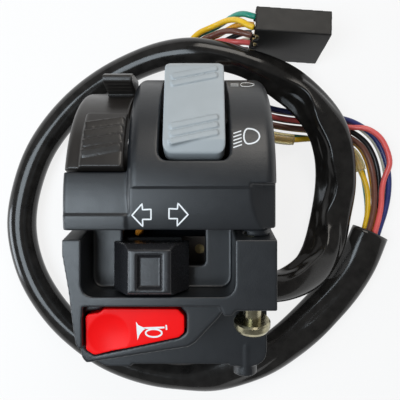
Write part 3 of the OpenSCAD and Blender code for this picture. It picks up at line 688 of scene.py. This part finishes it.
# Backing of the thin wall where the band's right end passes the screw insert:
# two points of that end's slope, its reach, its depth under the slope and its thickness
BAND_END = ((20.0, 34.9), (28.0, 31.0))
BACKING_X = (21.2, 25.8)
BACKING_Y = (-1.4, 3.6)
BACKING_TOP = 0.12
BACKING_THICK = 1.3
# End of the stub under the bottom: where it is, its radius, and its reach
STUB_X = 21.0
STUB_Z = 13.6
STUB_R = 3.5
STUB_Y = (-46.0, -50.5)
STUB_SIDES = 24
# Corners of a plate, as places in two pairs of limits
CORNERS = ((0, 0), (1, 0), (1, 1), (0, 1))


def flatten_dish(piece):
    """Gives the round dish of the solid a flat floor and steep walls."""
    for v in piece.data.vertices:
        x, y, z = v.co / MM
        inside = min(DISH_HALF - abs(x - DISH_X), y - DISH_Y[0], DISH_Y[1] - y)
        if inside > 0 and z > DISH_RIM - DISH_DEPTH - DISH_BELOW:
            v.co.z = (DISH_RIM - DISH_DEPTH * ease(inside / DISH_WALL)) * MM


def band_backing():
    (x0, z0), (x1, z1) = BAND_END
    points = []
    for depth in (BACKING_TOP, BACKING_TOP + BACKING_THICK):
        for i, j in CORNERS:
            x = BACKING_X[i]
            slope = mix(z0, z1, (x - x0) / (x1 - x0))
            points.append(Vector((x, BACKING_Y[j], slope - depth)))
    count = len(CORNERS)
    faces = [tuple(range(count)), tuple(reversed(range(count, 2 * count)))]
    for i in range(count):
        after = (i + 1) % count
        faces.append((i, i + count, after + count, after))
    return points, faces


def stub_end():
    points = []
    for y in STUB_Y:
        for t in turns_of(STUB_SIDES):
            points.append(Vector((STUB_X + STUB_R * math.cos(t), y, STUB_Z + STUB_R * math.sin(t))))
    return points, tube_faces(len(STUB_Y), STUB_SIDES)


upper = softened("upper_housing", "housing", SHELL, voxel_mm=0.32, passes=4, backing=band_backing())
softened("lower_housing", "housing", SHELL, voxel_mm=0.32, passes=4, backing=stub_end())
softened("choke_lever", "choke", LEVER, voxel_mm=0.25, passes=4)
softened("dimmer_rocker", "dimmer", ROCKER, voxel_mm=0.22, passes=5)
knob = softened("turn_knob", "turn_press", KNOB, voxel_mm=0.22, passes=9)
flatten_dish(knob)
horn = softened("horn_button", "horn", RED, voxel_mm=0.22, passes=6)

# Solids that stay as they are
for node, material in {
    "clamp_screws": ZINC, "thread_inserts": BRASS, "dimmer_pivot_pin": OXIDE,
    "dimmer_detent_spring": STEEL, "dimmer_detent_ball": STEEL, "dimmer_wiper": BRASS,
    "dimmer_board": BOARD, "dimmer_rivets": BRASS, "turn_carriage": NYLON,
    "turn_detent_spring": STEEL, "turn_detent_ball": STEEL, "turn_wiper": BRASS, "turn_board": BOARD,
    "turn_rivets": AGED, "horn_wiper": BRASS, "horn_board": BOARD, "horn_rivets": BRASS,
    "board_screws": OXIDE, "harness_grommet": RUBBER, "connector_terminals": BRASS, "inner_lead": AMBER,
}.items():
    paint(nodes[node], material)


# Return springs: steel copies of the solids, with their placement baked into the mesh

def return_spring(node):
    spring = add_object(node + "_coil", nodes[node].data.copy())
    paint(spring, STEEL)
    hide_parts(node)
    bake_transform(spring)


return_spring("turn_knob_spring")
return_spring("horn_spring")


# Printed signs, in photo pixels, laid on the surface below their place in the photograph

SIGN_LIFT = 0.05
STROKE_STEP = 1.2
# Turn arrows: outline of the left one about its tip; the right one is its mirror image
ARROW = ((0, 0), (10, -11.5), (10.6, -5.6), (19, -6), (19, 4), (10.6, 4), (10.8, 11.2))
LEFT_TIP = (132, 215.3)
RIGHT_TIP = (188, 214.6)
# Horn: bell, tube and mouthpiece, with the tube's loop below
BELL = ((136, 321.6), (138.4, 325), (142.6, 327), (146.4, 328.6), (143, 330.4), (139.6, 334.6), (137.5, 340))
HORN_TUBE = ((143.5, 328.2), (164.5, 327.4))
MOUTHPIECE = ((166.2, 324.9), (166.6, 329.9))
# Lamp of the beam signs: how far its round front is from its back, and points of the back
LAMP_SHIFT = 0.5
LAMP_BACK_POINTS = 9


def surface_tree(piece):
    mesh = piece.data
    corners = [v.co.copy() for v in mesh.vertices]
    return BVHTree.FromPolygons(corners, [tuple(p.vertices) for p in mesh.polygons])


def on_surface(tree, px, py):
    half = PHOTO_SIZE / 2
    ray = Vector(((px - half) / FOCAL_PX, (half - py) / FOCAL_PX, -1.0)).normalized()
    hit, normal, _, _ = tree.ray_cast(CAMERA_AT * MM, ray)
    if hit is None:
        raise RuntimeError("a sign has no surface below it")
    if normal.z < 0:
        normal = -normal
    return (hit + normal * SIGN_LIFT * MM) / MM


def stroke(tree, outline, width, closed):
    """A printed line along an outline."""
    line = []
    count = len(outline)
    spans = count if closed else count - 1
    for i in range(spans):
        a = Vector(outline[i])
        b = Vector(outline[(i + 1) % count])
        steps = max(1, int((b - a).length / STROKE_STEP))
        line += [a + (b - a) * j / steps for j in range(steps)]
    if not closed:
        line.append(Vector(outline[-1]))
    points = []
    total = len(line)
    for i, p in enumerate(line):
        before = line[(i - 1) % total] if closed else line[max(i - 1, 0)]
        after = line[(i + 1) % total] if closed else line[min(i + 1, total - 1)]
        d = (after - before).normalized()
        side = Vector((-d.y, d.x)) * width / 2
        points.append(on_surface(tree, *(p + side)))
        points.append(on_surface(tree, *(p - side)))
    faces = []
    for i in range(total if closed else total - 1):
        j = (i + 1) % total
        faces.append((2 * i, 2 * i + 1, 2 * j + 1, 2 * j))
    return points, faces


def filled(tree, outline):
    """A printed area inside an outline, as a fan about its middle."""
    middle = sum((Vector(p) for p in outline), Vector((0, 0))) / len(outline)
    points = [on_surface(tree, *middle)] + [on_surface(tree, *p) for p in outline]
    count = len(outline)
    faces = [(0, 1 + i, 1 + (i + 1) % count) for i in range(count)]
    return points, faces


def sign(name, parts, body):
    points, faces = joined(parts)
    add_mesh(name, points, faces, PRINT, body)


def arc(cx, cy, rx, ry, start, end, count):
    turns = [math.radians(start + (end - start) * i / (count - 1)) for i in range(count)]
    return [(cx + rx * math.cos(t), cy - ry * math.sin(t)) for t in turns]


def beam_sign(name, middle, front, back, high, front_points, line, ray, ray_step, rays, ray_line):
    """A lamp with a round front and a shallow back, and rays that repeat by a step at both of their ends."""
    x, y = middle
    lamp = arc(x + LAMP_SHIFT, y, front, high, 90, -90, front_points)
    lamp += arc(x, y, back, high, 270, 90, LAMP_BACK_POINTS)
    parts = [stroke(upper_tree, lamp, line, True)]
    for i in range(rays):
        ends = [(p[0] + step[0] * i, p[1] + step[1] * i) for p, step in zip(ray, ray_step)]
        parts.append(stroke(upper_tree, ends, ray_line, False))
    sign(name, parts, "housing")


upper_tree = surface_tree(upper)
horn_tree = surface_tree(horn)

for name, tip, turn in (("arrow_left", LEFT_TIP, 1), ("arrow_right", RIGHT_TIP, -1)):
    outline = [(tip[0] + turn * x, tip[1] + y) for x, y in ARROW]
    sign(name, [stroke(upper_tree, outline, width=1.5, closed=True)], "housing")

beam_sign("low_beam", middle=(248, 136.3), front=11, back=4.2, high=7.6, front_points=15, line=1.5,
          ray=((233.3, 133.6), (241.2, 131)), ray_step=((0, 3.5), (0.2, 3.4)), rays=5, ray_line=1.15)
# The high beam's lamp is seen nearly edge on, at the top of the dome
beam_sign("high_beam", middle=(244.5, 84.8), front=9, back=4, high=1.9, front_points=13, line=0.6,
          ray=((230.5, 83.6), (238.5, 83.6)), ray_step=((0, 0.9), (0, 0.9)), rays=4, ray_line=0.35)

horn_loop = arc(cx=153.8, cy=333, rx=8.1, ry=3.9, start=0, end=345, count=24)
sign("horn_sign", [
    filled(horn_tree, BELL),
    stroke(horn_tree, HORN_TUBE, width=1.9, closed=False),
    stroke(horn_tree, MOUTHPIECE, width=1.5, closed=False),
    stroke(horn_tree, horn_loop, width=1.7, closed=True)], "horn")


# Floor, light and world

# Share of the floor's white that doesn't depend on the lamps; the rest keeps the shadow
FLOOR_GLOW = 0.82
FLOOR_WHITE = (0.96, 0.96, 0.96, 1)
FLOOR_ROUGH = 0.8
# Radius and height of the floor, which turns up into a low backdrop far from the cluster
FLOOR_PROFILE = ((900, 0), (1500, 0), (1800, 25), (2050, 120), (2200, 300), (2250, 620))
FLOOR_SIDES = 96
FLOOR_BELOW = 0.05
WORLD_STRENGTH = 0.18


def floor_material():
    """White that glows for the camera and in reflections, and takes shadows from the lamps."""
    material, tree, shader = new_material("floor_white")
    shader.inputs["Base Color"].default_value = FLOOR_WHITE
    shader.inputs["Roughness"].default_value = FLOOR_ROUGH
    glow = tree.nodes.new("ShaderNodeEmission")
    glow.inputs["Color"].default_value = (1, 1, 1, 1)
    rays = tree.nodes.new("ShaderNodeLightPath")
    seen = rays.outputs["Is Camera Ray"]
    for kind in ("Is Glossy Ray", "Is Transmission Ray"):
        either = tree.nodes.new("ShaderNodeMath")
        either.operation = "MAXIMUM"
        tree.links.new(seen, either.inputs[0])
        tree.links.new(rays.outputs[kind], either.inputs[1])
        seen = either.outputs["Value"]
    share = tree.nodes.new("ShaderNodeMath")
    share.operation = "MULTIPLY"
    share.inputs[1].default_value = FLOOR_GLOW
    blend = tree.nodes.new("ShaderNodeMixShader")
    tree.links.new(seen, share.inputs[0])
    tree.links.new(share.outputs["Value"], blend.inputs["Fac"])
    tree.links.new(shader.outputs["BSDF"], blend.inputs[1])
    tree.links.new(glow.outputs["Emission"], blend.inputs[2])
    tree.links.new(blend.outputs["Shader"], tree.nodes["Material Output"].inputs["Surface"])
    return material


def make_floor():
    points = []
    for radius, height in FLOOR_PROFILE:
        z = FLOOR - FLOOR_BELOW + height
        for t in turns_of(FLOOR_SIDES):
            points.append(Vector((radius * math.cos(t), radius * math.sin(t), z)) * MM)
    faces = tube_faces(len(FLOOR_PROFILE), FLOOR_SIDES, caps=False)
    mesh = bpy.data.meshes.new("floor")
    mesh.from_pydata(points, [], faces + [tuple(reversed(range(FLOOR_SIDES)))])
    mesh.flip_normals()
    mesh.shade_smooth()
    floor = add_object("floor", mesh)
    paint(floor, floor_material())


def add_lamp(name, spot, target, size, watts, colour):
    data = bpy.data.lights.new(name, "AREA")
    data.energy = watts
    data.size = size * MM
    data.color = colour
    lamp = add_object(name, data)
    lamp.location = Vector(spot) * MM
    direction = (Vector(target) - Vector(spot)).normalized()
    lamp.rotation_euler = direction.to_track_quat("-Z", "Y").to_euler()


def make_world():
    world = bpy.data.worlds.new("studio")
    bpy.context.scene.world = world
    world.use_nodes = True
    background = world.node_tree.nodes["Background"]
    background.inputs["Color"].default_value = (1, 1, 1, 1)
    background.inputs["Strength"].default_value = WORLD_STRENGTH


make_floor()
make_world()
add_lamp("window", spot=(-150, -25, 310), target=(0, 0, 0), size=200, watts=0.85, colour=(0.8, 0.91, 1.0))
add_lamp("side_window", spot=(-620, -110, 80), target=(-30, 0, 0), size=280, watts=1.75,
         colour=(0.84, 0.92, 1.0))
add_lamp("ceiling", spot=(120, 420, 420), target=(0, 0, 0), size=300, watts=1.2, colour=(1.0, 0.95, 0.88))
bpy.context.scene.view_settings.view_transform = "Standard"
